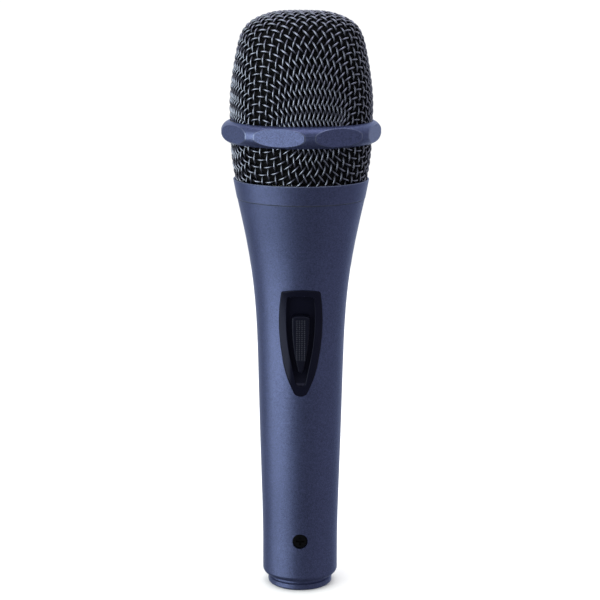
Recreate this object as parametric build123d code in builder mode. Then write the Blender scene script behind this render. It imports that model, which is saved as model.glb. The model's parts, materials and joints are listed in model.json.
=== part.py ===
from build123d import *

import os
from math import cos, radians, sin, tan

# Handheld dynamic vocal microphone. Millimetres and degrees. The origin is the centre of the tail face, +Z
# runs up the handle to the head, and the switch faces -Y.

# Handle
NECK_R = 10.85
NECK_TOP = 2.0
NECK_GROOVE_R = 10.4
SHOULDER_Z = 3.3
TAIL_R = 12.67
TAIL_TOP = 17.0
TAIL_BORE_R = 9.55
TAIL_BORE_TOP = 26.0
SEAM_Z = 132.4
SEAM_R = 20.95
SPIGOT_R = 19.4
MOUTH_Z = 138.2
MOUTH_BORE_R = 17.4
LEDGE_Z = 131.0
LEDGE_R = 15.4
THREAD_PITCH = 1.25
THREAD_DEPTH = 0.35
FLARE = [(TAIL_R, TAIL_TOP), (13.40, 45), (14.17, 75), (14.98, 95), (17.38, 115), (SEAM_R, SEAM_Z)]

# Slide switch, on a plane that leans with the handle's front. Depths are measured from that plane.
SWITCH_Z = 86.5
SWITCH_Y = -14.52
SWITCH_LEAN = 3.0
BEZEL_PROUD = 0.25
BEZEL_FLANGE = 1.2
BEZEL_LIP = 1.3
BEZEL_GAP = 0.08
BEZEL_DEPTH = 3.4
BEZEL_ROUND = 0.3
WELL_ROUND = 0.25
WELL_DEPTH = 2.3
RAMP_R = 6.0
BUTTON_TOP = 0.6
BUTTON_GAP = 0.2
DOT_R = 0.2
DOT_HEIGHT = 0.12
DOT_PITCH = (0.83, 0.69)
SWITCH_TRAVEL = 4.5
FOOT_Y = -0.5
FOOT_SIZE = (2.4, 4.0)
FOOT_END = -4.2
LEVER_SIZE = (1.5, 2.0)
LEVER_DEPTH = 1.6
LEVER_GAP = 0.02
BOSS_R = 1.7
BOSS_HEIGHT = 1.2
BRACKET_SIZE = (7.0, 40.0)
BRACKET_THICK = 0.8
BRACKET_TAB = (5.0, 2.2)
SCREW_YS = (13.2, -11.2)
SCREW_R = 1.0
SCREW_HEAD_R = 1.8
SLIDE_BODY = (6.6, 15.0, 4.0)
BOARD_THICK = 1.6

# Socket insert and lock screw
INSERT_R = 9.5
INSERT_Z = 0.3
INSERT_TOP = 22.5
SOCKET_R = 8.1
SOCKET_FLOOR = 15.8
KEYWAY_WIDTH = 4.4
PIN_R = 1.2
PIN_SHANK_R = 1.5
PIN_OFFSET = 3.95
PIN_TIP = 1.6
PIN_TOP = 25.5
CUP_R = 0.8
CUP_DEPTH = 2.6
SPRING_THICK = 0.3
LOCK_Z = 18.0
LOCK_HOLE_R = 2.6
LOCK_SINK = 1.6
LOCK_HEAD = 1.1
LOCK_SHANK_R = 1.42

# Grille
COLLAR_BORE_R = 19.72
COLLAR_TOP = 138.9
COLLAR_TOP_R = 22.27
MESH_SEAT_Z = 137.3
MESH_THICK = 1.2
BELT_Z = 154.4
BELT_R = 26.1
BELT_BORE_R = 23.32
BELT_HALF = 3.505
BELT_LAND = 1.4
BELT_ROUND = (0.9, 1.74)
BELT_FLATS = 8
FLAT_APOTHEM = 24.8
FIRST_FLAT = -16.3
CRIMP_R = 21.86
CRIMP_THICK = 1.1
DOME_START = 157.8
DOME_START_R = 23.28
DOME_TOP = 193.2
FOAM_GAP = 0.3
FOAM_THICK = 3.0

# Capsule and its mounting
CAPSULE_R = 12.9
CAPSULE_BASE = 126.0
CLAMP_BASE = 135.6
BASKET_RIB_R = 13.9
BASKET_BORE_R = 11.7
CHAMBER_R = 11.4
CHAMBER_BASE = 109.0
CHAMBER_WALL = 1.2
YOKE_R = 11.2
YOKE_BASE = 139.0
YOKE_FLOOR = 141.5
YOKE_TOP = 153.0
MAGNET_R = 7.4
MAGNET_TOP = 149.5
POLE_R = 7.6
COIL_R = 8.35
COIL_BORE_R = 7.95
GAP_R = 8.7
DIAPHRAGM_Z = 155.2
DIAPHRAGM_R = 12.6
DIAPHRAGM_THICK = 0.15
COVER_R = 13.9
COVER_TOP = 164.5
COVER_THICK = 1.2
SOUND_HOLE_R = 1.5

LEAD_R = 0.45

os.makedirs("parts", exist_ok=True)

lean = radians(SWITCH_LEAN)
switch_out = Vector(0, -cos(lean), -sin(lean))
switch_plane = Plane(origin=(0, SWITCH_Y, SWITCH_Z), x_dir=(1, 0, 0), z_dir=switch_out)
switch_side = Plane(origin=(0, SWITCH_Y, SWITCH_Z), x_dir=switch_plane.y_dir, z_dir=(1, 0, 0))
lock_plane = Plane(origin=(0, -TAIL_R, LOCK_Z), x_dir=(1, 0, 0), z_dir=(0, -1, 0))


def handle_core(inset):
    """The solid under the handle's flared skin, drawn in by an inset."""
    with BuildPart() as core:
        with BuildSketch(Plane.XZ):
            with BuildLine():
                skin = Spline([(r - inset, z) for r, z in FLARE], tangents=[(0.01, 1), (0.22, 1)])
                Polyline(skin @ 1, (0, SEAM_Z), (0, TAIL_TOP), skin @ 0)
            make_face()
        revolve(axis=Axis.Z)
    return core.part


def shield(inset):
    """The bezel's outline: a shield with an arched top, widest above its middle, drawn in by an inset."""
    with BuildSketch() as outline:
        with BuildLine():
            top = ThreePointArc((-6.3, 17.2), (0, 18.0), (6.3, 17.2))
            side = ThreePointArc(top @ 1, (7.05, 8.0), (5.95, -5.0))
            taper = ThreePointArc(side @ 1, (4.1, -12.4), (1.9, -17.2))
            ThreePointArc(taper @ 1, (0, -17.9), (-1.9, -17.2))
            mirror(side, about=Plane.YZ)
            mirror(taper, about=Plane.YZ)
        make_face()
        fillet(outline.vertices().group_by(Axis.Y)[-1], 0.8)
        if inset:
            offset(amount=-inset, mode=Mode.REPLACE)
    return outline.sketch


def tapered_outline(top_y, half_width, bulge, waist, tip, arch):
    """A narrow shield: arched top, sides bulging through one point to a waist, then a rounded tip."""
    with BuildSketch() as outline:
        with BuildLine():
            top = ThreePointArc((-half_width, top_y), (0, top_y + arch), (half_width, top_y))
            side = ThreePointArc(top @ 1, bulge, waist)
            taper = Line(side @ 1, tip)
            ThreePointArc(tip, (0, tip[1] - 0.6 * tip[0]), (-tip[0], tip[1]))
            mirror(side, about=Plane.YZ)
            mirror(taper, about=Plane.YZ)
        make_face()
    return outline.sketch


def inward(curve, distance, count=9):
    """A curve drawn square to another one, a distance towards the axis of revolution."""
    points = []
    for step in range(count):
        at = step / (count - 1)
        heading = curve.tangent_at(at)
        points.append(curve.position_at(at) + Vector(-heading.Y, heading.X) * distance)
    return Spline(points, tangents=[curve.tangent_at(0), curve.tangent_at(1)], mode=Mode.PRIVATE)


def ring(outer_r, inner_r, low, high):
    """A plain ring between two heights."""
    with BuildPart() as body:
        with BuildSketch(Plane.XY.offset(low)):
            Circle(outer_r)
            if inner_r:
                Circle(inner_r, mode=Mode.SUBTRACT)
        extrude(amount=high - low)
    return body.part


def lead(points):
    """A round lead along straight runs joined by arcs as large as the runs allow; prints the arcs' radii."""
    points = [Vector(*p) for p in points]
    radii = []
    for before, corner, after in zip(points, points[1:], points[2:]):
        turn = (corner - before).get_angle(after - corner)
        shorter = min((corner - before).length, (after - corner).length)
        radii.append(0.45 * shorter / tan(radians(turn / 2)))
    with BuildPart() as body:
        with BuildLine() as path:
            FilletPolyline(*points, radius=radii)
        with BuildSketch(Plane(origin=points[0], z_dir=points[1] - points[0])):
            Circle(LEAD_R)
        sweep()
    print("lead radii", [round(r, 1) for r in radii], "length", round(path.wire().length, 1),
          "volume", round(body.part.volume, 2))
    return body.part


def finish(body, label):
    """Labels a finished piece and writes it."""
    body.label = label
    export_step(body, f"parts/{label}.step")


# ---- Handle ----

with BuildPart() as handle_shell:
    with BuildSketch(Plane.XZ):
        with BuildLine():
            end_face = Line((TAIL_BORE_R, 0), (NECK_R - 0.6, 0))
            foot = ThreePointArc(end_face @ 1, (NECK_R - 0.18, 0.22), (NECK_R, 0.8))
            neck = Polyline(foot @ 1, (NECK_R, NECK_TOP), (NECK_GROOVE_R, NECK_TOP + 0.35),
                            (NECK_GROOVE_R, SHOULDER_Z - 0.1), (11.2, SHOULDER_Z))
            shoulder = ThreePointArc(neck @ 1, (12.25, SHOULDER_Z + 0.65), (TAIL_R, SHOULDER_Z + 1.7))
            Line(shoulder @ 1, FLARE[0])
            skin = Spline(FLARE, tangents=[(0.01, 1), (0.22, 1)])
            Polyline(skin @ 1, (SPIGOT_R, SEAM_Z), (SPIGOT_R, MOUTH_Z - 0.4), (SPIGOT_R - 0.4, MOUTH_Z),
                     (MOUTH_BORE_R, MOUTH_Z), (MOUTH_BORE_R, LEDGE_Z), (LEDGE_R, LEDGE_Z), (LEDGE_R, 117.5),
                     (12.9, 97), (12.1, 78), (11.0, 30), (11.0, TAIL_BORE_TOP + 1),
                     (TAIL_BORE_R, TAIL_BORE_TOP), (TAIL_BORE_R, 0))
        make_face()
    revolve(axis=Axis.Z)
    # thread grooves on the spigot
    with BuildSketch(Plane.XZ):
        for turn in range(3):
            groove_z = SEAM_Z + 1.6 + turn * THREAD_PITCH
            with BuildLine():
                Polyline((SPIGOT_R + 0.1, groove_z - 0.45), (SPIGOT_R - THREAD_DEPTH, groove_z),
                         (SPIGOT_R + 0.1, groove_z + 0.45), close=True)
            make_face()
    revolve(axis=Axis.Z, mode=Mode.SUBTRACT)

with BuildPart() as bezel_recess:
    with BuildSketch(switch_plane.offset(-6)):
        add(shield(-BEZEL_GAP))
    extrude(amount=10)
    add(handle_core(BEZEL_FLANGE), mode=Mode.SUBTRACT)

with handle_shell:
    add(bezel_recess.part, mode=Mode.SUBTRACT)
    # window for the bezel's body
    with BuildSketch(switch_plane.offset(-6)):
        add(shield(BEZEL_LIP))
    extrude(amount=10, mode=Mode.SUBTRACT)
    # sunk hole of the lock screw
    with BuildSketch(lock_plane.offset(-LOCK_SINK)):
        Circle(LOCK_HOLE_R)
    extrude(amount=LOCK_SINK + 1, mode=Mode.SUBTRACT)
    with BuildSketch(lock_plane.offset(-5)):
        Circle(1.55)
    extrude(amount=6, mode=Mode.SUBTRACT)
finish(handle_shell.part, "handle_shell")

# ---- Switch ----

screw_places = [(0, y) for y in SCREW_YS]
lever_mid = FOOT_Y + SWITCH_TRAVEL / 2
well = tapered_outline(15.3, 4.3, (4.55, 7.0), (3.5, -4.0), (1.6, -13.6), 0.6)

with BuildPart() as well_cut:
    with BuildSketch(switch_plane.offset(-WELL_DEPTH)):
        add(well)
    extrude(amount=8)
    # the well's lower end rises to the tip along a round ramp
    with BuildSketch(switch_side.offset(-8)):
        with Locations((3.0, 2.85)):
            Rectangle(25.5, 10.3)
        with Locations((-9.6, RAMP_R - WELL_DEPTH)):
            Circle(RAMP_R)
    extrude(amount=16, mode=Mode.INTERSECT)

with BuildPart() as bezel_flange:
    with BuildSketch(switch_plane.offset(-5)):
        add(shield(0))
    extrude(amount=9)
    add(handle_core(BEZEL_FLANGE - 0.04), mode=Mode.SUBTRACT)

with BuildPart() as switch_bezel:
    with BuildSketch(switch_plane.offset(-BEZEL_DEPTH)):
        add(shield(BEZEL_LIP + BEZEL_GAP))
    extrude(amount=8)
    add(bezel_flange.part)
    add(handle_core(-BEZEL_PROUD), mode=Mode.INTERSECT)
    # bosses for the bracket's screws
    with BuildSketch(switch_plane.offset(-BEZEL_DEPTH - BOSS_HEIGHT)):
        with Locations(*screw_places):
            Circle(BOSS_R)
    extrude(amount=BOSS_HEIGHT + 0.1)
    with BuildSketch(switch_plane.offset(-BEZEL_DEPTH - BOSS_HEIGHT)):
        with Locations(*screw_places):
            Circle(SCREW_R + 0.02)
    extrude(amount=1.7, mode=Mode.SUBTRACT)
    add(well_cut.part, mode=Mode.SUBTRACT)
    # slot for the button's foot
    with BuildSketch(switch_plane.offset(-6)):
        with Locations((0, lever_mid)):
            Rectangle(FOOT_SIZE[0] + 0.6, FOOT_SIZE[1] + SWITCH_TRAVEL + 0.6)
    extrude(amount=5, mode=Mode.SUBTRACT)
    # rounded rim and well edge, both on the largest of the outer faces
    for wire, rounding in ((0, BEZEL_ROUND), (1, WELL_ROUND)):
        outer_faces = switch_bezel.faces().sort_by(Axis((0, 0, 0), switch_out))[-12:]
        proud_face = max(outer_faces, key=lambda face: face.area)
        fillet((proud_face.outer_wire(), *proud_face.inner_wires())[wire].edges(), rounding)
finish(switch_bezel.part, "switch_bezel")

with BuildPart() as switch_button:
    with BuildSketch(switch_plane.offset(-WELL_DEPTH + BUTTON_GAP)):
        add(tapered_outline(8.8, 2.78, (2.72, 3.0), (1.72, -5.0), (0.75, -9.4), 0.5))
    extrude(amount=WELL_DEPTH - BUTTON_GAP + BUTTON_TOP)
    fillet(switch_button.faces().sort_by(Axis((0, 0, 0), switch_out))[-1].edges(), 0.5)
    # grip dots
    with BuildSketch(switch_plane.offset(BUTTON_TOP - 0.05)):
        with Locations((0, 1.2)):
            with GridLocations(*DOT_PITCH, 4, 20):
                Circle(DOT_R)
    extrude(amount=0.05 + DOT_HEIGHT)
    # foot with a pocket for the lever
    with BuildSketch(switch_plane.offset(FOOT_END)):
        with Locations((0, FOOT_Y)):
            Rectangle(*FOOT_SIZE)
    extrude(amount=2.3)
    with BuildSketch(switch_plane.offset(FOOT_END)):
        with Locations((0, FOOT_Y)):
            Rectangle(LEVER_SIZE[0] + 2 * LEVER_GAP, LEVER_SIZE[1] + 2 * LEVER_GAP)
    extrude(amount=LEVER_DEPTH, mode=Mode.SUBTRACT)
finish(switch_button.part, "switch_button")

bracket_front = -BEZEL_DEPTH - BOSS_HEIGHT - 0.05
bracket_back = bracket_front - BRACKET_THICK
tab_y = (BRACKET_SIZE[1] - BRACKET_TAB[1]) / 2
with BuildPart() as switch_bracket:
    with BuildSketch(switch_plane.offset(bracket_back)):
        Rectangle(*BRACKET_SIZE)
        with Locations(*screw_places):
            Circle(SCREW_R + 0.1, mode=Mode.SUBTRACT)
        with Locations((0, lever_mid)):
            Rectangle(FOOT_SIZE[0] + 0.8, FOOT_SIZE[1] + SWITCH_TRAVEL + 0.8, mode=Mode.SUBTRACT)
    extrude(amount=BRACKET_THICK)
    # end tabs bear on the inside of the handle above and below the window
    with BuildSketch(switch_plane.offset(bracket_front)):
        with Locations((0, tab_y), (0, -tab_y)):
            Rectangle(*BRACKET_TAB)
    extrude(amount=2.4)
finish(switch_bracket.part, "switch_bracket")

with BuildPart() as switch_bracket_screws:
    with BuildSketch(switch_plane.offset(bracket_back - 1.2)):
        with Locations(*screw_places):
            Circle(SCREW_HEAD_R)
    extrude(amount=1.18)
    with BuildSketch(switch_plane.offset(bracket_back - 0.1)):
        with Locations(*screw_places):
            Circle(SCREW_R)
    extrude(amount=2.55)
    with BuildSketch(switch_plane.offset(bracket_back - 1.3)):
        with Locations(*screw_places):
            Rectangle(2.2, 0.5)
            Rectangle(0.5, 2.2)
    extrude(amount=0.7, mode=Mode.SUBTRACT)
finish(switch_bracket_screws.part, "switch_bracket_screws")

body_top = bracket_back - 0.05
with BuildPart() as slide_switch_body:
    with BuildSketch(switch_plane.offset(body_top - SLIDE_BODY[2])):
        with Locations((0, lever_mid)):
            Rectangle(SLIDE_BODY[0], SLIDE_BODY[1])
    extrude(amount=SLIDE_BODY[2])
    with BuildSketch(switch_plane.offset(body_top - 2.6)):
        with Locations((0, lever_mid)):
            Rectangle(2.2, LEVER_SIZE[1] + SWITCH_TRAVEL + 0.8)
    extrude(amount=3.0, mode=Mode.SUBTRACT)
finish(slide_switch_body.part, "slide_switch_body")

with BuildPart() as slide_switch_lever:
    with BuildSketch(switch_plane.offset(body_top - 2.3)):
        with Locations((0, FOOT_Y)):
            Rectangle(*LEVER_SIZE)
    extrude(amount=FOOT_END + LEVER_DEPTH - 0.1 - body_top + 2.3)
finish(slide_switch_lever.part, "slide_switch_lever")

with BuildPart() as switch_pcb:
    with BuildSketch(switch_plane.offset(body_top - SLIDE_BODY[2] - 0.1 - BOARD_THICK)):
        RectangleRounded(9.0, 26.0, 0.8)
    extrude(amount=BOARD_THICK)
finish(switch_pcb.part, "switch_pcb")

# ---- Socket insert, pins, ground spring and lock screw ----

pin_places = {"xlr_pin_1": (-PIN_OFFSET, 0), "xlr_pin_2": (PIN_OFFSET, 0), "xlr_pin_3": (0, -PIN_OFFSET)}

with BuildPart() as xlr_insert:
    with BuildSketch(Plane.XY.offset(INSERT_Z)):
        Circle(INSERT_R)
    extrude(amount=INSERT_TOP - INSERT_Z)
    with BuildSketch(Plane.XY.offset(INSERT_Z)):
        Circle(SOCKET_R)
    extrude(amount=SOCKET_FLOOR - INSERT_Z, mode=Mode.SUBTRACT)
    chamfer(xlr_insert.edges().filter_by(GeomType.CIRCLE).group_by(Axis.Z)[0].sort_by(SortBy.RADIUS)[0], 0.4)
    # keyway and latch pocket of the mating plug
    with BuildSketch(Plane.XY.offset(INSERT_Z)):
        with Locations((0, SOCKET_R)):
            Rectangle(KEYWAY_WIDTH, 1.9)
    extrude(amount=9.5, mode=Mode.SUBTRACT)
    with BuildSketch(Plane.XZ.offset(-INSERT_R - 1)):
        with Locations((0, 7.2)):
            Rectangle(KEYWAY_WIDTH, 3.0)
    extrude(amount=3, mode=Mode.SUBTRACT)
    with BuildSketch(Plane.XY.offset(SOCKET_FLOOR - 1)):
        with Locations(*pin_places.values()):
            Circle(PIN_SHANK_R + 0.02)
    extrude(amount=10, mode=Mode.SUBTRACT)
    with BuildSketch(lock_plane.offset(-7.5)):
        Circle(LOCK_SHANK_R + 0.05)
    extrude(amount=6, mode=Mode.SUBTRACT)
finish(xlr_insert.part, "xlr_insert")

for pin_name, (pin_x, pin_y) in pin_places.items():
    with BuildPart() as pin:
        with BuildSketch(Plane.XY.offset(PIN_TIP)):
            with Locations((pin_x, pin_y)):
                Circle(PIN_R)
        extrude(amount=SOCKET_FLOOR - PIN_TIP)
        fillet(pin.edges().group_by(Axis.Z)[0], 0.7)
        # thicker shank through the insert, with a solder cup
        with BuildSketch(Plane.XY.offset(SOCKET_FLOOR)):
            with Locations((pin_x, pin_y)):
                Circle(PIN_SHANK_R)
        extrude(amount=PIN_TOP - SOCKET_FLOOR)
        with BuildSketch(Plane.XY.offset(PIN_TOP - CUP_DEPTH)):
            with Locations((pin_x, pin_y)):
                Circle(CUP_R)
        extrude(amount=CUP_DEPTH, mode=Mode.SUBTRACT)
    finish(pin.part, pin_name)

with BuildPart() as xlr_ground_spring:
    with BuildSketch(Plane.XZ):
        with BuildLine():
            spring_foot = INSERT_TOP + 0.02
            Polyline((-1.6, spring_foot), (-8.6, spring_foot), (-9.45, INSERT_TOP + 2.4),
                     (-9.15, INSERT_TOP + 2.5), (-8.4, spring_foot + SPRING_THICK),
                     (-1.6, spring_foot + SPRING_THICK), close=True)
        make_face()
    extrude(amount=1.9, both=True)
    with BuildSketch(Plane.XY.offset(INSERT_TOP)):
        with Locations((-PIN_OFFSET, 0)):
            Circle(PIN_SHANK_R + 0.03)
    extrude(amount=1, mode=Mode.SUBTRACT)
    with BuildSketch(Plane.XY.offset(INSERT_TOP)):
        Circle(TAIL_BORE_R - 0.06)
    extrude(amount=4, mode=Mode.INTERSECT)
finish(xlr_ground_spring.part, "xlr_ground_spring")

with BuildPart() as xlr_lock_screw:
    with BuildSketch(lock_plane.offset(-LOCK_SINK + 0.02)):
        Circle(LOCK_HOLE_R - 0.2)
    extrude(amount=LOCK_HEAD)
    fillet(xlr_lock_screw.edges().group_by(Axis.Y)[0], 0.3)
    with BuildSketch(lock_plane.offset(-6.9)):
        Circle(LOCK_SHANK_R)
    extrude(amount=5.4)
    with BuildSketch(lock_plane.offset(-LOCK_SINK + 0.45)):
        Rectangle(2.8, 0.65)
        Rectangle(0.65, 2.8)
    extrude(amount=2, mode=Mode.SUBTRACT)
finish(xlr_lock_screw.part, "xlr_lock_screw")

# ---- Capsule and its mounting in the handle's mouth ----

with BuildPart() as capsule_clamp_ring:
    add(ring(MOUTH_BORE_R - 0.1, 15.6, CLAMP_BASE, 137.9))
    # two notches for a pin spanner
    with BuildSketch(Plane.XY.offset(137.0)):
        with PolarLocations(16.5, 2):
            Rectangle(3.0, 2.0)
    extrude(amount=2, mode=Mode.SUBTRACT)
finish(capsule_clamp_ring.part, "capsule_clamp_ring")

with BuildPart() as capsule_shock_mount:
    with BuildSketch(Plane.XZ):
        with BuildLine():
            mount_base = LEDGE_Z + 0.05
            mount_top = CLAMP_BASE - 0.05
            Polyline((MOUTH_BORE_R - 0.1, mount_base), (MOUTH_BORE_R - 0.1, mount_top), (15.9, mount_top),
                     (15.9, 133.6), (14.3, 132.4), (14.3, 136.0), (CAPSULE_R + 0.05, 136.0),
                     (CAPSULE_R + 0.05, 128.0), (14.3, 128.0), (14.3, mount_base), close=True)
        make_face()
    revolve(axis=Axis.Z)
finish(capsule_shock_mount.part, "capsule_shock_mount")

with BuildPart() as capsule_basket:
    with BuildSketch(Plane.XZ):
        with BuildLine():
            Polyline((0, CAPSULE_BASE), (CAPSULE_R, CAPSULE_BASE), (CAPSULE_R, 136.05),
                     (BASKET_RIB_R, 136.05), (BASKET_RIB_R, 137.6), (CAPSULE_R, 137.6),
                     (CAPSULE_R, DIAPHRAGM_Z - 0.2),
                     (BASKET_BORE_R, DIAPHRAGM_Z - 0.2), (BASKET_BORE_R, CAPSULE_BASE + 2),
                     (0, CAPSULE_BASE + 2), close=True)
        make_face()
    revolve(axis=Axis.Z)
    with BuildSketch(Plane.XY.offset(CAPSULE_BASE - 1)):
        with PolarLocations(7.0, 6):
            Circle(1.2)
    extrude(amount=4, mode=Mode.SUBTRACT)
finish(capsule_basket.part, "capsule_basket")

finish(ring(CHAMBER_R, 0, CAPSULE_BASE + 2.1, CAPSULE_BASE + 4.6), "rear_damping_felt")

with BuildPart() as rear_chamber:
    add(ring(CHAMBER_R, 0, CHAMBER_BASE, CAPSULE_BASE - 0.05))
    with BuildSketch(Plane.XY.offset(CHAMBER_BASE + CHAMBER_WALL)):
        Circle(CHAMBER_R - CHAMBER_WALL)
    extrude(amount=20, mode=Mode.SUBTRACT)
finish(rear_chamber.part, "rear_chamber")

with BuildPart() as capsule_terminal_board:
    with BuildSketch(Plane.XY.offset(CHAMBER_BASE - 1.3)):
        Rectangle(13.0, 7.0)
    extrude(amount=1.25)
finish(capsule_terminal_board.part, "capsule_terminal_board")

with BuildPart() as magnet_yoke:
    add(ring(YOKE_R, 0, YOKE_BASE, YOKE_TOP - 3.0))
    with BuildSketch(Plane.XY.offset(YOKE_FLOOR)):
        Circle(YOKE_R - 2.0)
    extrude(amount=20, mode=Mode.SUBTRACT)
    # top plate round the gap
    add(ring(YOKE_R, GAP_R, YOKE_TOP - 3.0, YOKE_TOP))
finish(magnet_yoke.part, "magnet_yoke")

finish(ring(MAGNET_R, 0, YOKE_FLOOR + 0.02, MAGNET_TOP), "magnet")
finish(ring(POLE_R, 0, MAGNET_TOP + 0.02, YOKE_TOP), "pole_plate")
finish(ring(COIL_R, COIL_BORE_R, MAGNET_TOP + 0.7, DIAPHRAGM_Z - 0.02), "voice_coil")

with BuildPart() as diaphragm:
    with BuildSketch(Plane.XZ):
        with BuildLine():
            for level in (DIAPHRAGM_Z, DIAPHRAGM_Z + DIAPHRAGM_THICK):
                ThreePointArc((0, level + 2.4), (4.4, level + 1.75), (8.1, level))
                ThreePointArc((8.1, level), (9.9, level + 0.8), (11.7, level))
                Line((11.7, level), (DIAPHRAGM_R, level))
            Line((0, DIAPHRAGM_Z + 2.4), (0, DIAPHRAGM_Z + 2.4 + DIAPHRAGM_THICK))
            Line((DIAPHRAGM_R, DIAPHRAGM_Z), (DIAPHRAGM_R, DIAPHRAGM_Z + DIAPHRAGM_THICK))
        make_face()
    revolve(axis=Axis.Z)
finish(diaphragm.part, "diaphragm")

with BuildPart() as capsule_cover:
    add(ring(COVER_R, CAPSULE_R + 0.06, 137.7, COVER_TOP - COVER_THICK))
    add(ring(COVER_R, 0, COVER_TOP - COVER_THICK, COVER_TOP))
    fillet(capsule_cover.edges().group_by(Axis.Z)[-1], 0.8)
    # sound holes
    with BuildSketch(Plane.XY.offset(COVER_TOP - 2)):
        Circle(SOUND_HOLE_R)
        with PolarLocations(4.6, 6):
            Circle(SOUND_HOLE_R)
        with PolarLocations(9.2, 12):
            Circle(SOUND_HOLE_R)
    extrude(amount=4, mode=Mode.SUBTRACT)
finish(capsule_cover.part, "capsule_cover")

screen_top = COVER_TOP - COVER_THICK - 0.05
finish(ring(CAPSULE_R - 0.05, 0, screen_top - 0.3, screen_top), "capsule_screen")

# ---- Grille ----

finish(ring(20.7, COLLAR_BORE_R, SEAM_Z + 0.02, SEAM_Z + 0.42), "grille_washer")

with BuildPart() as grille_collar:
    with BuildSketch(Plane.XZ):
        with BuildLine():
            Polyline((COLLAR_BORE_R, SEAM_Z + 0.44), (20.75, SEAM_Z + 0.44), (20.75, SEAM_Z + 0.15),
                     (21.0, SEAM_Z + 0.15), (21.12, SEAM_Z + 0.3), (COLLAR_TOP_R, COLLAR_TOP - 0.15),
                     (COLLAR_TOP_R - 0.12, COLLAR_TOP), (COLLAR_TOP_R - 0.42, COLLAR_TOP),
                     (21.4, MESH_SEAT_Z), (COLLAR_BORE_R, MESH_SEAT_Z), close=True)
        make_face()
    revolve(axis=Axis.Z)
finish(grille_collar.part, "grille_collar")

with BuildLine() as lower_line:
    lower_skin = Spline((21.25, MESH_SEAT_Z + 0.05), (22.2, 141.7), (22.8, 146), (23.1, 151),
                        tangents=[(0.28, 1), (0.03, 1)])

with BuildPart() as lower_mesh:
    with BuildSketch(Plane.XZ):
        with BuildLine():
            inner = inward(lower_skin, MESH_THICK)
            add(lower_skin)
            add(inner)
            Line(lower_skin @ 0, inner @ 0)
            Polyline(lower_skin @ 1, (23.15, 154.3), (23.15 - MESH_THICK, 154.3), inner @ 1)
        make_face()
    revolve(axis=Axis.Z)
finish(lower_mesh.part, "lower_mesh")

with BuildPart() as foam_liner_lower:
    with BuildSketch(Plane.XZ):
        with BuildLine():
            outer = inward(lower_skin, MESH_THICK + FOAM_GAP)
            inner = inward(lower_skin, MESH_THICK + FOAM_GAP + FOAM_THICK)
            add(outer)
            add(inner)
            Line(outer @ 0, inner @ 0)
            Line(outer @ 1, inner @ 1)
        make_face()
    revolve(axis=Axis.Z)
    split(bisect_by=Plane.XY.offset(139.0), keep=Keep.TOP)
finish(foam_liner_lower.part, "foam_liner_lower")

with BuildPart() as belt_ring:
    with BuildSketch(Plane.XZ):
        with BuildLine():
            for side in (-1, 1):
                land_z = BELT_Z + side * BELT_LAND / 2
                ThreePointArc((BELT_R, land_z), (BELT_R - BELT_ROUND[0], land_z + side * BELT_ROUND[1]),
                              (BELT_BORE_R, BELT_Z + side * BELT_HALF))
            Line((BELT_R, BELT_Z - BELT_LAND / 2), (BELT_R, BELT_Z + BELT_LAND / 2))
            Line((BELT_BORE_R, BELT_Z - BELT_HALF), (BELT_BORE_R, BELT_Z + BELT_HALF))
        make_face()
    revolve(axis=Axis.Z)
    # eight flats round the belt
    with BuildSketch(Plane.XY.offset(BELT_Z - 6)):
        flats_turn = FIRST_FLAT - 90 + 180 / BELT_FLATS
        RegularPolygon(FLAT_APOTHEM, BELT_FLATS, major_radius=False, rotation=flats_turn)
    extrude(amount=12, mode=Mode.INTERSECT)
finish(belt_ring.part, "belt_ring")

finish(ring(CRIMP_R, CRIMP_R - CRIMP_THICK, 151.2, 157.4), "inner_crimp_ring")

with BuildLine() as dome_line:
    dome_skin = Spline((DOME_START_R, DOME_START), (23.44, 161.5), (22.8, 171), (21.0, 181.3), (18.0, 188.6),
                       (11.2, 192.3), (0, DOME_TOP), tangents=[(0.05, 1), (-1, 0)])

with BuildPart() as upper_mesh:
    with BuildSketch(Plane.XZ):
        with BuildLine():
            inner = inward(dome_skin, MESH_THICK, 15)
            add(dome_skin)
            add(inner)
            Line(dome_skin @ 1, inner @ 1)
            Polyline(dome_skin @ 0, (23.2, 154.5), (23.2 - MESH_THICK, 154.5), inner @ 0)
        make_face()
    revolve(axis=Axis.Z)
finish(upper_mesh.part, "upper_mesh")

with BuildPart() as foam_liner_upper:
    with BuildSketch(Plane.XZ):
        with BuildLine():
            outer = inward(dome_skin, MESH_THICK + FOAM_GAP, 15)
            inner = inward(dome_skin, MESH_THICK + FOAM_GAP + FOAM_THICK, 15)
            add(outer)
            add(inner)
            Line(outer @ 0, inner @ 0)
            Line(outer @ 1, inner @ 1)
        make_face()
    revolve(axis=Axis.Z)
finish(foam_liner_upper.part, "foam_liner_upper")

# ---- Leads: capsule to circuit board, circuit board to pins ----

for lead_name, side_x in {"capsule_lead_hot": 3.0, "capsule_lead_return": -3.0}.items():
    route = [(side_x, -3.6, 93.6), (side_x, 0.6, 94.2), (side_x * 1.05, 3.0, 99.5), (side_x, 1.8, 107.68)]
    finish(lead(route), lead_name)

output_starts = {"output_lead_1": -2.6, "output_lead_2": 2.6, "output_lead_3": 0.0}
for (lead_name, start_x), (pin_x, pin_y) in zip(output_starts.items(), pin_places.values()):
    route = [(start_x, -2.72, 76.5), (start_x, 2.2, 75.6), (start_x, 3.4, 66.0),
             (start_x * 1.1, 1.6, 52.0), (pin_x, pin_y * 0.9, 38.0), (pin_x, pin_y, 23.6)]
    finish(lead(route), lead_name)
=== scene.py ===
"""Looks of a handheld dynamic microphone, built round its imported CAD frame."""

import json
import math

import bmesh
import bpy
import numpy as np
from mathutils import Matrix, Vector
from mathutils.bvhtree import BVHTree


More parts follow.
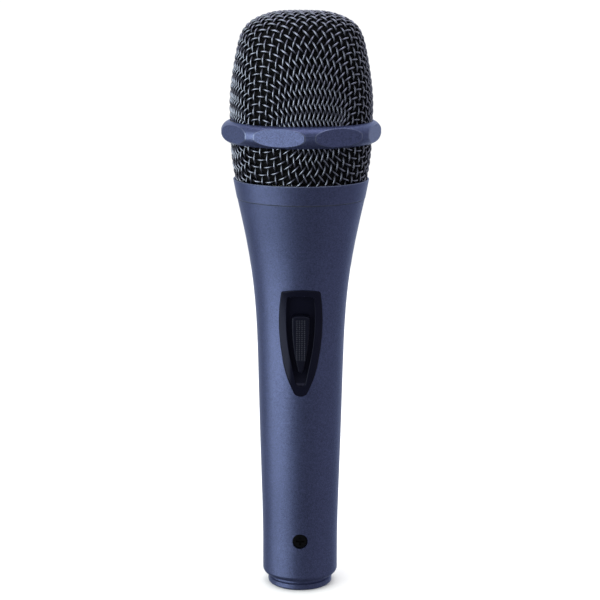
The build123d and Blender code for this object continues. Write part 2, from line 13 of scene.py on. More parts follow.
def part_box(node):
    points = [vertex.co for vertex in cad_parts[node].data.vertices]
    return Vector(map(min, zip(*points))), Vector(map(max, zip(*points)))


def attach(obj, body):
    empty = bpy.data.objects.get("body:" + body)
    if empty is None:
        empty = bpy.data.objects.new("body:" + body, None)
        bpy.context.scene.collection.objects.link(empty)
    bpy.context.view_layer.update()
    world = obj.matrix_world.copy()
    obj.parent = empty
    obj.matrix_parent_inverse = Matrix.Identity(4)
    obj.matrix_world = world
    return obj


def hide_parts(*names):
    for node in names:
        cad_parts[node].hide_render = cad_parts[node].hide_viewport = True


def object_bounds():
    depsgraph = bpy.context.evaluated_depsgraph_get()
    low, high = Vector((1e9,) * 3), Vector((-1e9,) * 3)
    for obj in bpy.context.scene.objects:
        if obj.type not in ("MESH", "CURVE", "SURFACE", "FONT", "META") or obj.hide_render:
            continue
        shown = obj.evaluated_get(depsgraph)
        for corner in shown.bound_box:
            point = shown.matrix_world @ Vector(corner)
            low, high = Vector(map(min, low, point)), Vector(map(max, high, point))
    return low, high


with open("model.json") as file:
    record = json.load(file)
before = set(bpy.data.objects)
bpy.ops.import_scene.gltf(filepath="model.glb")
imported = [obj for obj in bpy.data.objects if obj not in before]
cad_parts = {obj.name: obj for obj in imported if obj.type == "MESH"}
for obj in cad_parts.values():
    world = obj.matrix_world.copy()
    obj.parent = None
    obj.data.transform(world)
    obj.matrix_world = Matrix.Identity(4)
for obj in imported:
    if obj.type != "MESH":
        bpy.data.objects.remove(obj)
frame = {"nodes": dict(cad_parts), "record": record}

bl_info = {
    "name": "Dynamic Microphone",
    "version": (1, 0, 0),
    "blender": (4, 5, 0),
    "location": "View3D > Sidebar > Microphone",
    "description": "Woven grille, foam, felt and finishes of a handheld microphone",
    "category": "Object",
}

MM = 0.001
CAD_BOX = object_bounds()

# The belt ring's flats: how many, where the first one faces, and how far they lie from the axis.
BELT_FLATS = 8
FIRST_FLAT = math.radians(-16.3 - 90)
FLAT_REACH = 24.8 * MM
# The way that the leaning face of the switch looks.
SWITCH_LEAN = math.radians(3)
SWITCH_OUT = Vector((0.0, -math.cos(SWITCH_LEAN), -math.sin(SWITCH_LEAN)))
# Points on the axis that the head's walls are seen from, and which way each wall's pole lies.
DOME_CENTRE, DOME_POLE = 0.162, 1
BAND_CENTRE, BAND_POLE = 0.150, -1
# How far a net's skin runs on past its wall, and how many pitches of wire are drawn past the cut.
RUN_ON = 0.06
SPARE_PITCHES = 2.5
# How far inside its CAD node's box a wall of wire is cut off.
CUT_INSIDE = 0.1 * MM


# ---- Shader maths ----


class Value:
    """A socket whose number varies over a surface, used in ordinary sums."""

    def __init__(self, tree, socket):
        self.tree = tree
        self.socket = socket

    def __add__(self, other):
        return self.tree.maths("ADD", self, other)

    def __radd__(self, other):
        return self.tree.maths("ADD", other, self)

    def __sub__(self, other):
        return self.tree.maths("SUBTRACT", self, other)

    def __rsub__(self, other):
        return self.tree.maths("SUBTRACT", other, self)

    def __mul__(self, other):
        return self.tree.maths("MULTIPLY", self, other)

    def __rmul__(self, other):
        return self.tree.maths("MULTIPLY", other, self)


class NodeTree:
    """The nodes of one material or world."""

    def __init__(self, owner):
        owner.use_nodes = True
        self.tree = owner.node_tree
        self.tree.nodes.clear()

    def node(self, kind, output, settings=None, sockets=None):
        """Adds a node, sets it up and gives its sockets values or links. Returns one output."""
        made = self.tree.nodes.new(kind)
        for name, value in (settings or {}).items():
            setattr(made, name, value)
        for name, value in (sockets or {}).items():
            if isinstance(value, Value):
                self.tree.links.new(value.socket, made.inputs[name])
            else:
                made.inputs[name].default_value = value
        return None if output is None else Value(self, made.outputs[output])

    def maths(self, operation, *values):
        """A sum of one to three values."""
        return self.node("ShaderNodeMath", 0, {"operation": operation}, dict(enumerate(values)))

    def place(self):
        """Where a point of the piece lies, in metres."""
        return self.node("ShaderNodeTexCoord", "Object")

    def parts(self, vector):
        """The three coordinates of a vector."""
        return [self.node("ShaderNodeSeparateXYZ", index, None, {0: vector}) for index in range(3)]

    def noise(self, scale, detail=2.0, roughness=0.5, stretch=(1, 1, 1)):
        """Soft noise about zero, with so many waves to the metre."""
        spot = self.place()
        if stretch != (1, 1, 1):
            spot = self.node("ShaderNodeMapping", 0, None, {"Vector": spot, "Scale": stretch})
        made = self.node("ShaderNodeTexNoise", 0, None,
                         {"Vector": spot, "Scale": scale, "Detail": detail, "Roughness": roughness})
        return made - 0.5

    def cells(self, scale, feature="F1", output="Distance"):
        """A pattern of cells, with so many to the metre."""
        return self.node("ShaderNodeTexVoronoi", output, {"feature": feature},
                         {"Vector": self.place(), "Scale": scale})

    def flakes(self, scale):
        """A random number about zero for each cell."""
        colour = self.cells(scale, output="Color")
        return self.node("ShaderNodeSeparateColor", 0, None, {0: colour}) - 0.5

    def limit(self, value, low, high):
        """Spreads the range from low to high over 0 to 1."""
        return self.node("ShaderNodeMapRange", 0, {"clamp": True},
                         {0: value, 1: low, 2: high, 3: 0.0, 4: 1.0})

    def near(self, value, target, inner, outer):
        """One at a target value, falling to nothing between two distances from it."""
        return 1 - self.limit(self.maths("ABSOLUTE", value - target), inner, outer)

    def blend(self, share, first, second):
        """A colour between two others."""
        return self.node("ShaderNodeMix", 2, {"data_type": "RGBA"},
                         {0: share, 6: colour4(first), 7: colour4(second)})

    def bands(self, direction, scale):
        """Even ridges across a direction."""
        settings = {"wave_type": "BANDS", "bands_direction": direction}
        return self.node("ShaderNodeTexWave", 1, settings,
                         {"Vector": self.place(), "Scale": scale, "Distortion": 0.0})

    def bump(self, height, depth):
        """A normal that follows a height, of so many metres."""
        return self.node("ShaderNodeBump", 0, None,
                         {"Strength": 1.0, "Distance": depth, "Height": height})

    def surface(self, sockets):
        """The material's surface, with these values or links on the shader's own sockets."""
        shader = self.node("ShaderNodeBsdfPrincipled", 0, None, sockets)
        self.node("ShaderNodeOutputMaterial", None, None, {"Surface": shader})


def colour4(colour):
    """A colour as a socket takes it."""
    return colour if isinstance(colour, Value) else (*tuple(colour)[:3], 1.0)


def shaded(colour, factor):
    """A colour made darker or lighter."""
    return tuple(min(1.0, channel * factor) for channel in tuple(colour)[:3])


# ---- Finishes ----


def belt_and_edges(nodes):
    """Masks of the belt ring's flats, and of the edges that get a painted highlight: round the
    flats, seam and rim.
    """
    x, y, z = nodes.parts(nodes.place())
    radius = nodes.maths("SQRT", x * x + y * y)
    half_step = math.pi / BELT_FLATS
    turn = nodes.maths("WRAP", nodes.maths("ARCTAN2", y, x) - FIRST_FLAT, half_step, -half_step)
    reach = radius * nodes.maths("COSINE", turn)
    low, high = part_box("belt_ring")
    on_ring = nodes.near(z, (low[2] + high[2]) / 2, 2.8 * MM, 3.2 * MM)
    flat = nodes.near(reach, FLAT_REACH, 0.03 * MM, 0.05 * MM) * on_ring
    flat_and_edge = nodes.near(reach, FLAT_REACH, 0.10 * MM, 0.22 * MM) * on_ring
    bottom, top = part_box("grille_collar")
    seam = nodes.near(z, bottom[2], 0.10 * MM, 0.28 * MM)
    rim = nodes.near(z, top[2], 0.10 * MM, 0.35 * MM)
    return flat, flat_and_edge - flat + seam + rim


def satin_slate_paint(nodes, look):
    """Metallic flake paint under a thin lacquer, with a painted highlight along its edges, and
    frosted on the flats.
    """
    flake = nodes.flakes(7000)
    grain = nodes.noise(1500, 3, 0.6)
    drift = nodes.noise(45, 2)
    flat, edge = belt_and_edges(nodes)
    sparkle = flake * (0.8 + flat * 0.7) + grain * 1.0 + drift * 0.3 + flat * 0.15
    paint = nodes.blend(nodes.limit(0.5 + sparkle, 0.0, 1.0), look.paint_shade, look.paint)
    # A painted highlight along the edges of the flats, the seam and the collar rim, broken up by
    # the grain.
    edge_highlight = nodes.limit(edge * (0.6 + grain * 1.5), 0.0, 1.0)
    nodes.surface({
        "Base Color": nodes.blend(edge_highlight, paint, look.paint_edge_highlight),
        "Metallic": 0.95,
        "Roughness": 0.44 + grain * 0.10 + drift * 0.05,
        "Specular Tint": (0.66, 0.77, 1.0, 1.0),
        "Coat Weight": 0.22,
        "Coat Roughness": 0.36,
        "Normal": nodes.bump(flake * 0.35 + grain, 0.04 * MM),
    })


def blackened_wire(nodes, look):
    """Dark plated steel wire, with a painted highlight on the crests and painted shade in the
    troughs.
    """
    crest = nodes.node("ShaderNodeAttribute", "Fac", {"attribute_name": "crest"})
    scuff = nodes.noise(1100, 3, 0.6)
    # The crest height mixes painted shade in the troughs with a painted highlight on the crests.
    share = nodes.limit(crest + scuff * 0.4, 0.0, 1.0)
    nodes.surface({
        "Base Color": nodes.blend(share, look.wire_shade, look.wire),
        "Metallic": 0.92,
        "Roughness": 0.20 + scuff * 0.10,
        "Normal": nodes.bump(scuff, 0.03 * MM),
    })


def moulded(nodes, colour, roughness, depth, gloss=0.5, tint=(1, 1, 1, 1)):
    """Moulded plastic with a fine spark-eroded grain."""
    grain = nodes.noise(4200, 2, 0.6)
    cloud = nodes.noise(160, 2)
    share = nodes.limit(0.5 + cloud + grain * 0.4, 0.0, 1.0)
    nodes.surface({
        "Base Color": nodes.blend(share, shaded(colour, 0.8), shaded(colour, 1.25)),
        "Roughness": roughness + cloud * 0.08 + grain * 0.10,
        "Specular IOR Level": gloss,
        "Specular Tint": tint,
        "Normal": nodes.bump(grain, depth),
    })


def plated(nodes, colour, roughness, stretch=(1, 1, 1), depth=0.02 * MM):
    """Bare or plated metal, with its drawing or turning marks."""
    marks = nodes.noise(1800, 3, 0.6, stretch)
    cloud = nodes.noise(120, 2)
    share = nodes.limit(0.5 + marks * 0.6 + cloud * 0.6, 0.0, 1.0)
    nodes.surface({
        "Base Color": nodes.blend(share, shaded(colour, 0.8), shaded(colour, 1.1)),
        "Metallic": 1.0,
        "Roughness": roughness + marks * 0.12 + cloud * 0.10,
        "Normal": nodes.bump(marks, depth),
    })


def gloss_bezel(nodes, look):
    """Black gloss moulding round the switch."""
    moulded(nodes, look.bezel, roughness=0.13, depth=0.008 * MM, gloss=0.15,
            tint=(0.6, 0.62, 1.0, 1.0))


def satin_button(nodes, look):
    """Satin moulding, with a painted highlight on the tips of its grip dots."""
    button = frame["nodes"]["switch_button"].data
    top = max(vertex.co.dot(SWITCH_OUT) for vertex in button.vertices)
    height = nodes.node("ShaderNodeVectorMath", "Value", {"operation": "DOT_PRODUCT"},
                        {0: nodes.place(), 1: tuple(SWITCH_OUT)})
    # A painted highlight on the tops of the grip dots.
    tips = nodes.limit(height, top - 0.08 * MM, top - 0.03 * MM)
    grain = nodes.noise(4200, 2, 0.6)
    nodes.surface({
        "Base Color": nodes.blend(tips, look.bezel, look.dots),
        "Roughness": 0.34 + grain * 0.10,
        "Specular IOR Level": 0.18,
        "Specular Tint": (0.6, 0.65, 1.0, 1.0),
        "Normal": nodes.bump(grain, 0.02 * MM),
    })


def moulded_black(nodes, look):
    """Matt black moulding of the socket insert and the capsule's housings."""
    moulded(nodes, (0.022, 0.022, 0.025), roughness=0.48, depth=0.03 * MM)


def blackened_screw(nodes, look):
    """Black oxide on the lock screw."""
    plated(nodes, (0.014, 0.014, 0.017), roughness=0.42)


def bright_contact(nodes, look):
    """Bright plating on contacts drawn lengthwise."""
    plated(nodes, (0.80, 0.78, 0.74), roughness=0.22, stretch=(1, 1, 0.08))


def sprung_brass(nodes, look):
    """Rolled brass sheet."""
    plated(nodes, (0.78, 0.60, 0.30), roughness=0.28, stretch=(0.15, 1, 1))


def zinc_steel(nodes, look):
    """Zinc plate on the steel of the bracket, switch, magnet circuit and crimp ring."""
    plated(nodes, (0.58, 0.60, 0.63), roughness=0.36)


def sintered_magnet(nodes, look):
    """Dull, pitted grey of a sintered magnet."""
    plated(nodes, (0.15, 0.15, 0.16), roughness=0.62, depth=0.08 * MM)


def satin_cover(nodes, look):
    """Satin aluminium, drawn lengthwise."""
    plated(nodes, (0.55, 0.56, 0.58), roughness=0.38, stretch=(1, 1, 0.1))


def coil_wire(nodes, look):
    """Turns of enamelled copper wire lying side by side, with painted shade between the turns."""
    turns = nodes.bands("Z", 3200)
    nodes.surface({
        # Painted shade in the grooves between the turns and a painted highlight along each turn.
        "Base Color": nodes.blend(turns, (0.32, 0.11, 0.04), (0.80, 0.36, 0.17)),
        "Metallic": 0.9,
        "Roughness": 0.30 + nodes.noise(900) * 0.1,
        "Normal": nodes.bump(turns, 0.04 * MM),
    })


def clear_film(nodes, look):
    """Thin drawn film, slightly milky."""
    ripple = nodes.noise(500, 2)
    nodes.surface({
        "Base Color": nodes.blend(ripple + 0.5, (0.62, 0.57, 0.45), (0.80, 0.76, 0.66)),
        "Roughness": 0.18 + ripple * 0.1,
        "Normal": nodes.bump(ripple, 0.03 * MM),
    })


def soft_rubber(nodes, look):
    """Black moulded rubber with a dusty bloom."""
    bloom = nodes.noise(240, 4, 0.6)
    grain = nodes.noise(3000, 2)
    nodes.surface({
        "Base Color": nodes.blend(nodes.limit(bloom, -0.2, 0.3), (0.014, 0.014, 0.015),
                                  (0.045, 0.045, 0.047)),
        "Roughness": 0.70 + bloom * 0.15,
        "Normal": nodes.bump(grain, 0.04 * MM),
    })


def open_foam(nodes, look):
    """Open-celled black foam: pores painted darker as shade in the hollows, between lighter struts.
    """
    strut = nodes.limit(nodes.cells(1500, "DISTANCE_TO_EDGE"), 0.0, 0.22)
    tuft = nodes.noise(700, 3, 0.6)
    nodes.surface({
        # Painted shade in the pores and lighter struts, following the distance to each cell's edge.
        "Base Color": nodes.blend(nodes.limit(strut - tuft * 0.5, 0.0, 1.0), shaded(look.foam, 1.9),
                                  shaded(look.foam, 0.35)),
        "Roughness": 0.93 + tuft * 0.06,
        "Specular IOR Level": 0.2,
        "Normal": nodes.bump(tuft - strut, 0.25 * MM),
    })


def pressed_felt(nodes, look):
    """Grey felt of short matted fibres."""
    fibre = nodes.noise(2600, 4, 0.7, (0.25, 1, 0.6)) + nodes.noise(2600, 4, 0.7, (1, 0.25, 0.6))
    fleck = nodes.limit(nodes.noise(500, 3, 0.7), -0.15, 0.25)
    nodes.surface({
        "Base Color": nodes.blend(nodes.limit(fibre, -0.4, 0.4), (0.20, 0.195, 0.185),
                                  (0.42, 0.41, 0.385)),
        "Roughness": 0.9 + fleck * 0.08,
        "Sheen Weight": 0.3,
        "Normal": nodes.bump(fibre + fleck * 0.4, 0.18 * MM),
    })


def screen_cloth(nodes, look):
    """Fine black cloth over the sound holes, woven square."""
    over = nodes.bands("X", 900)
    under = nodes.bands("Y", 900)
    nodes.surface({
        "Base Color": nodes.blend(over * under, (0.015, 0.015, 0.016), (0.09, 0.09, 0.095)),
        "Roughness": 0.85 + nodes.noise(400) * 0.1,
        "Sheen Weight": 0.2,
        "Normal": nodes.bump(over + under, 0.06 * MM),
    })


def resist_board(nodes, look):
    """Glass-fibre board under green solder resist."""
    weave = nodes.noise(1400, 2, 0.5, (1, 0.2, 1)) + nodes.noise(1400, 2, 0.5, (0.2, 1, 1))
    nodes.surface({
        "Base Color": nodes.blend(nodes.limit(weave, -0.3, 0.3), (0.012, 0.075, 0.032),
                                  (0.02, 0.13, 0.055)),
        "Roughness": 0.34 + weave * 0.1,
        "Coat Weight": 0.3,
        "Coat Roughness": 0.2,
        "Normal": nodes.bump(weave, 0.04 * MM),
    })


def insulation(colour):
    """A maker of soft lead insulation in one colour."""

    def made(nodes, look):
        moulded(nodes, colour, roughness=0.42, depth=0.02 * MM)

    return made


FINISHES = {
    "slate_paint": satin_slate_paint,
    "dark_wire": blackened_wire,
    "black_gloss": gloss_bezel,
    "black_grip": satin_button,
    "black_plastic": moulded_black,
    "black_screw": blackened_screw,
    "contact_metal": bright_contact,
    "spring_brass": sprung_brass,
    "plain_steel": zinc_steel,
    "magnet_grey": sintered_magnet,
    "cover_metal": satin_cover,
    "copper": coil_wire,
    "film": clear_film,
    "rubber_black": soft_rubber,
    "foam_black": open_foam,
    "felt": pressed_felt,
    "board": resist_board,
    "lead_red": insulation((0.50, 0.025, 0.02)),
    "lead_black": insulation((0.018, 0.018, 0.02)),
    "lead_bare": insulation((0.60, 0.60, 0.58)),
}


def finish(slot):
    """The material of a record slot, made the first time it is asked for."""
    name = "finish_" + slot
    if name not in bpy.data.materials:
        material = bpy.data.materials.new(name)
        FINISHES[slot](NodeTree(material), bpy.context.scene.mic_look)
    return bpy.data.materials[name]


# ---- Shapes ----


# A length that is safe to divide by, the distance within which points are one, and that of a cut.
NOTHING = 1e-12
SAME_POINT = 1e-6
ON_CUT = 1e-7


class Skin:
    """The outside of a wall of revolution, read off a CAD node from a point on the axis.

    It lies an inset inside the wall and runs on past its open end. The start closes an open pole.
    """

    # The rays that read the meridian: how many, how long, the first one's angle and their sweep.
    RAYS = 240
    REACH = 0.059
    FIRST_RAY = 0.002
    SWEEP = math.pi - 0.01
    # The least distance from the axis that a direction is divided by.
    ON_AXIS = 4e-8

    def __init__(self, node, centre_z, pole, inset, run_on, start=()):
        mesh = frame["nodes"][node].data
        corners = [vertex.co for vertex in mesh.vertices]
        tree = BVHTree.FromPolygons(corners, [face.vertices for face in mesh.polygons])
        self.centre = np.array((0.0, 0.0, centre_z))
        self.pole = pole
        line = list(start)
        for step in range(self.RAYS):
            angle = self.FIRST_RAY + step * self.SWEEP / self.RAYS
            away = Vector((math.sin(angle), 0.0, pole * math.cos(angle)))
            hit = tree.ray_cast(Vector(self.centre) + away * self.REACH, -away, self.REACH)[0]
            if hit is not None:
                line.append((hit.x, hit.z))
        line = np.array(line)
        along = np.gradient(line, axis=0)
        along /= np.linalg.norm(along, axis=1)[:, None]
        line = line - np.stack([-pole * along[:, 1], pole * along[:, 0]], 1) * inset
        line[:, 0] = np.maximum(line[:, 0], 0.0)
        last = line[-1]
        self.line = np.vstack([line, (last[0], last[1] - pole * run_on)])
        away = self.line - (0.0, centre_z)
        self.angle = np.arctan2(away[:, 0], pole * away[:, 1])
        self.reach = np.hypot(away[:, 0], away[:, 1])
        self.run = np.concatenate([[0.0], np.cumsum(np.hypot(*np.diff(self.line, axis=0).T))])

    def spread(self, run, turn):
        """Points at a distance along the meridian from the pole, and a turn about the axis."""
        radius = np.interp(run, self.run, self.line[:, 0])
        height = np.interp(run, self.run, self.line[:, 1])
        return np.stack([radius * np.cos(turn), radius * np.sin(turn), height], -1)

    def seen_from_centre(self, points):
        """Each point's offset from the centre, its distance, and the skin's distance that way."""
        away = points - self.centre
        angle = np.arctan2(np.hypot(away[..., 0], away[..., 1]), self.pole * away[..., 2])
        return away, np.linalg.norm(away, axis=-1), np.interp(angle, self.angle, self.reach)

    def hold(self, points):
        """The points, put back on the skin."""
        away, far, reach = self.seen_from_centre(points)
        return self.centre + away * (reach / far)[..., None]

    def outward(self, points):
        """The skin's normals at points on it."""
        slope = np.gradient(self.line, axis=0)
        away = points - self.centre
        radius = np.hypot(away[..., 0], away[..., 1])
        angle = np.arctan2(radius, self.pole * away[..., 2])
        across = np.interp(angle, self.angle, -self.pole * slope[:, 1])
        up = np.interp(angle, self.angle, self.pole * slope[:, 0])
        length = np.maximum(np.hypot(across, up), NOTHING)
        flat = away[..., :2] / np.maximum(radius, self.ON_AXIS)[..., None]
        return np.concatenate([flat * (across / length)[..., None], (up / length)[..., None]], -1)


# Settling of a net: the share of the speed that is kept and of the push that is added in each
# round, the fastest move in pitches, and the share of a closed mesh's push that is felt.
KEPT_SPEED = 0.92
ADDED_PUSH = 0.13
FASTEST = 0.2
LOCK_PUSH = 0.5


def lay_net(skin, weave, turn, phase):
    """Lays a square net over a skin from its pole and lets it shear into place, as drawn cloth.

    Every edge keeps the pitch, wires stay smooth, and shearing stops where the wires close up.
    """
    half = int(weave.cover / weave.pitch) + 1
    count = np.arange(-half, half + 1)
    first, second = np.meshgrid(count + phase[0], count + phase[1], indexing="ij")
    run = np.hypot(first, second) * weave.pitch
    live = run < weave.cover
    net = skin.spread(run, np.arctan2(second, first) + turn)
    every, fore, aft = slice(None), slice(None, -1), slice(1, None)
    corner = weave.lock * weave.pitch
    springs = (
        ((fore, every), (aft, every), weave.pitch, False),
        ((every, fore), (every, aft), weave.pitch, False),
        ((fore, fore), (aft, aft), corner, True),
        ((fore, aft), (aft, fore), corner, True),
    )
    ends, middle, starts = slice(2, None), slice(1, -1), slice(None, -2)
    wires = (
        ((starts, every), (middle, every), (ends, every)),
        ((every, starts), (every, middle), (every, ends)),
    )
    speed = np.zeros_like(net)
    for _ in range(weave.rounds):
        push = np.zeros_like(net)
        for a, b, rest, only_short in springs:
            gap = net[b] - net[a]
            length = np.linalg.norm(gap, axis=-1)
            pull = (length - rest) / length * (live[a] & live[b])
            pull = np.minimum(pull, 0) * LOCK_PUSH if only_short else pull
            pull = pull[..., None] * gap
            push[a] += pull
            push[b] -= pull
        for a, b, c in wires:
            bend = (net[a] + net[c] - 2 * net[b]) * weave.bend / 4
            bend = bend * (live[a] & live[b] & live[c])[..., None]
            push[b] += 2 * bend
            push[a] -= bend
            push[c] -= bend
        speed = KEPT_SPEED * speed + ADDED_PUSH * push
        size = np.linalg.norm(speed, axis=-1, keepdims=True)
        speed *= np.minimum(1.0, FASTEST * weave.pitch / np.maximum(size, NOTHING))
        net = skin.hold(net + speed)
    return net, live


def smooth_object(name, bm):
    """Turns a finished bmesh into a smooth-shaded object."""
    mesh = bpy.data.meshes.new(name)
    bm.to_mesh(mesh)
    bm.free()
    mesh.shade_smooth()
    piece = bpy.data.objects.new(name, mesh)
    bpy.context.scene.collection.objects.link(piece)
    return piece


def settle_piece(piece, body, slot, replaced):
    """Gives a new piece its finish and its body, and hides the CAD node that it stands for."""
    piece.data.materials.clear()
    piece.data.materials.append(finish(slot))
    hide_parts(replaced)
    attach(piece, body)


# The fewest crossings that make a wire, and how finely its section and its run are drawn.
LEAST_RUN = 4
SECTION_STEPS = 2
RUN_STEPS = 5


def wires_of(net, live, keep, crimped):
    """The crimped places of the unbroken runs of crossings along each row of a net."""
    runs = []
    for row in range(net.shape[0]):
        run = []
        for node in range(net.shape[1]):
            if live[row, node] and keep(net[row, node]):
                run.append(crimped[row, node])
                continue
            runs.append(run)
            run = []
        runs.append(run)
    return [run for run in runs if len(run) >= LEAST_RUN]


def wire_piece(name, runs, weave, skin, low, high):
    """Wires as one piece: smooth round curves, made a mesh and cut off level at both ends."""
    curve = bpy.data.curves.new(name + "_line", "CURVE")
    curve.dimensions = "3D"
    curve.bevel_depth = weave.wire / 2
    curve.bevel_resolution = SECTION_STEPS
    curve.use_fill_caps = True
    for run in runs:
        spline = curve.splines.new("NURBS")
        spline.points.add(len(run) - 1)
        for point, place in zip(spline.points, run):
            point.co = (*place, 1.0)
        spline.order_u = 3
        spline.use_endpoint_u = True
        spline.resolution_u = RUN_STEPS
    drawn = bpy.data.objects.new(name + "_line", curve)
    bm = bmesh.new()
    mesh = bpy.data.meshes.new_from_object(drawn)
    bm.from_mesh(mesh)
    bpy.data.meshes.remove(mesh)
    bpy.data.objects.remove(drawn)
    bpy.data.curves.remove(curve)
    for height, up in ((low, -1), (high, 1)):
        if height is None:
            continue
        whole = bm.verts[:] + bm.edges[:] + bm.faces[:]
        cut = bmesh.ops.bisect_plane(bm, geom=whole, dist=ON_CUT, plane_co=(0, 0, height),
                                     plane_no=(0, 0, up), clear_outer=True)
        rim = [item for item in cut["geom_cut"] if isinstance(item, bmesh.types.BMEdge)]
        bmesh.ops.edgeloop_fill(bm, edges=rim)
    bmesh.ops.recalc_face_normals(bm, faces=bm.faces[:])
    piece = smooth_object(name, bm)
    points = np.empty(len(piece.data.vertices) * 3)
    piece.data.vertices.foreach_get("co", points)
    _, far, reach = skin.seen_from_centre(points.reshape(-1, 3))
    # Height above the skin, which the wire's finish turns into a painted highlight and painted
    # shade.
    crest = piece.data.attributes.new("crest", "FLOAT", "POINT")
    crest.data.foreach_set("value", np.clip((far - reach) / weave.wire, -1, 1).astype(np.float32))
    return piece


def weave_wall(node, skin, weave, turn, phase, keep, low, high):
    """Weaves both families of wires of one grille wall, each over and under the other.

    Only crossings that pass keep are drawn. The low and high ends, where given, are cut level.
    """
    net, live = lay_net(skin, weave, turn, phase)
    parity = np.indices(net.shape[:2]).sum(axis=0) % 2 * 2 - 1
    lift = skin.outward(net) * (parity * weave.wire)[..., None]
    families = (
        ("_warp", net, live, net + lift),
        ("_weft", net.swapaxes(0, 1), live.T, (net - lift).swapaxes(0, 1)),
    )
    for name, rows, shown, crimped in families:
        runs = wires_of(rows, shown, keep, crimped)
        piece = wire_piece(node + name, runs, weave, skin, low, high)
        settle_piece(piece, "grille", "dark_wire", node)


def spun(line, steps):
    """A full turn of a line about the upright axis, its doubles merged and its faces outward."""
    bm = bmesh.new()
    verts = [bm.verts.new((radius, 0.0, height)) for radius, height in line]
    for a, b in zip(verts, verts[1:]):
        bm.edges.new((a, b))
    bmesh.ops.spin(bm, geom=bm.verts[:] + bm.edges[:], cent=(0, 0, 0), axis=(0, 0, 1),
                   angle=2 * math.pi, steps=steps, use_merge=True)
    bmesh.ops.remove_doubles(bm, verts=bm.verts[:], dist=SAME_POINT)
    bmesh.ops.recalc_face_normals(bm, faces=bm.faces[:])
    return bm


# ---- Settings ----


class MicWeave(bpy.types.PropertyGroup):
    """Woven wire of the grille."""

    wire: bpy.props.FloatProperty(
        name="Wire", description="Diameter of the wire", default=0.60 * MM, unit="LENGTH",
        precision=5)
    pitch: bpy.props.FloatProperty(
        name="Pitch", description="Distance between crossings", default=2.5 * MM, unit="LENGTH",
        precision=5)
    lock: bpy.props.FloatProperty(
        name="Lock", description="Least distance between opposite corners of a mesh, in pitches",
        default=0.60)
    bend: bpy.props.FloatProperty(
        name="Bend", description="Stiffness of the wires in bending", default=0.25)
    rounds: bpy.props.IntProperty(name="Rounds", description="Rounds of settling", default=2200)
    cover: bpy.props.FloatProperty(
        name="Cover", description="Radius of the flat blank of net", default=66 * MM, unit="LENGTH")
    upper_turn: bpy.props.FloatProperty(
        name="Dome turn", description="Turn of the dome's warp about the axis",
        default=math.radians(-126), unit="ROTATION")
    lower_turn: bpy.props.FloatProperty(
        name="Band turn", description="Turn of the lower band's warp about the axis",
        default=math.radians(-125), unit="ROTATION")


class MicLook(bpy.types.PropertyGroup):
    """Colours of the finishes."""

    paint: bpy.props.FloatVectorProperty(
        name="Paint", description="Metallic paint, light flakes", subtype="COLOR",
        default=(0.104, 0.124, 0.278))
    paint_shade: bpy.props.FloatVectorProperty(
        name="Paint shade", description="Metallic paint, dark flakes", subtype="COLOR",
        default=(0.046, 0.055, 0.128))
    # Colour of the painted highlight along the paint's edges.
    paint_edge_highlight: bpy.props.FloatVectorProperty(
        name="Rubbed paint", description="Paint rubbed along its edges", subtype="COLOR",
        default=(0.19, 0.22, 0.34))
    # Colour of the painted highlight on the wire's crests.
    wire: bpy.props.FloatVectorProperty(
        name="Wire", description="Rubbed crests of the wire", subtype="COLOR",
        default=(0.245, 0.26, 0.355))
    # Colour of the painted shade in the wire's troughs.
    wire_shade: bpy.props.FloatVectorProperty(
        name="Wire shade", description="Troughs of the wire", subtype="COLOR",
        default=(0.004, 0.005, 0.010))
    bezel: bpy.props.FloatVectorProperty(
        name="Switch", description="Bezel and button", subtype="COLOR",
        default=(0.0024, 0.0026, 0.0062))
    # Colour of the painted highlight on the tips of the button's dots.
    dots: bpy.props.FloatVectorProperty(
        name="Dots", description="Rubbed tips of the button's dots", subtype="COLOR",
        default=(0.026, 0.028, 0.038))
    foam: bpy.props.FloatVectorProperty(
        name="Foam", description="Foam behind the wire", subtype="COLOR",
        default=(0.0022, 0.0022, 0.0040))


class MicStage(bpy.types.PropertyGroup):
    """Camera, floor and studio light."""

    camera_place: bpy.props.FloatVectorProperty(
        name="Camera", description="Where the camera stands", subtype="TRANSLATION",
        default=(-0.00026, -0.55098, 0.21074))
    camera_pitch: bpy.props.FloatProperty(
        name="Pitch", description="How far the camera looks down", default=math.radians(11.5589),
        unit="ROTATION")
    camera_roll: bpy.props.FloatProperty(
        name="Roll", description="Turn of the camera about its view", default=math.radians(0.17),
        unit="ROTATION")
    lens: bpy.props.FloatProperty(
        name="Lens", description="Focal length", default=101.436, unit="CAMERA")
    floor_size: bpy.props.FloatProperty(
        name="Floor", description="Radius of the floor", default=0.6, unit="LENGTH")
    floor: bpy.props.FloatVectorProperty(
        name="Floor colour", description="Colour of the floor", subtype="COLOR",
        default=(0.93, 0.93, 0.94))


# ---- Operators ----


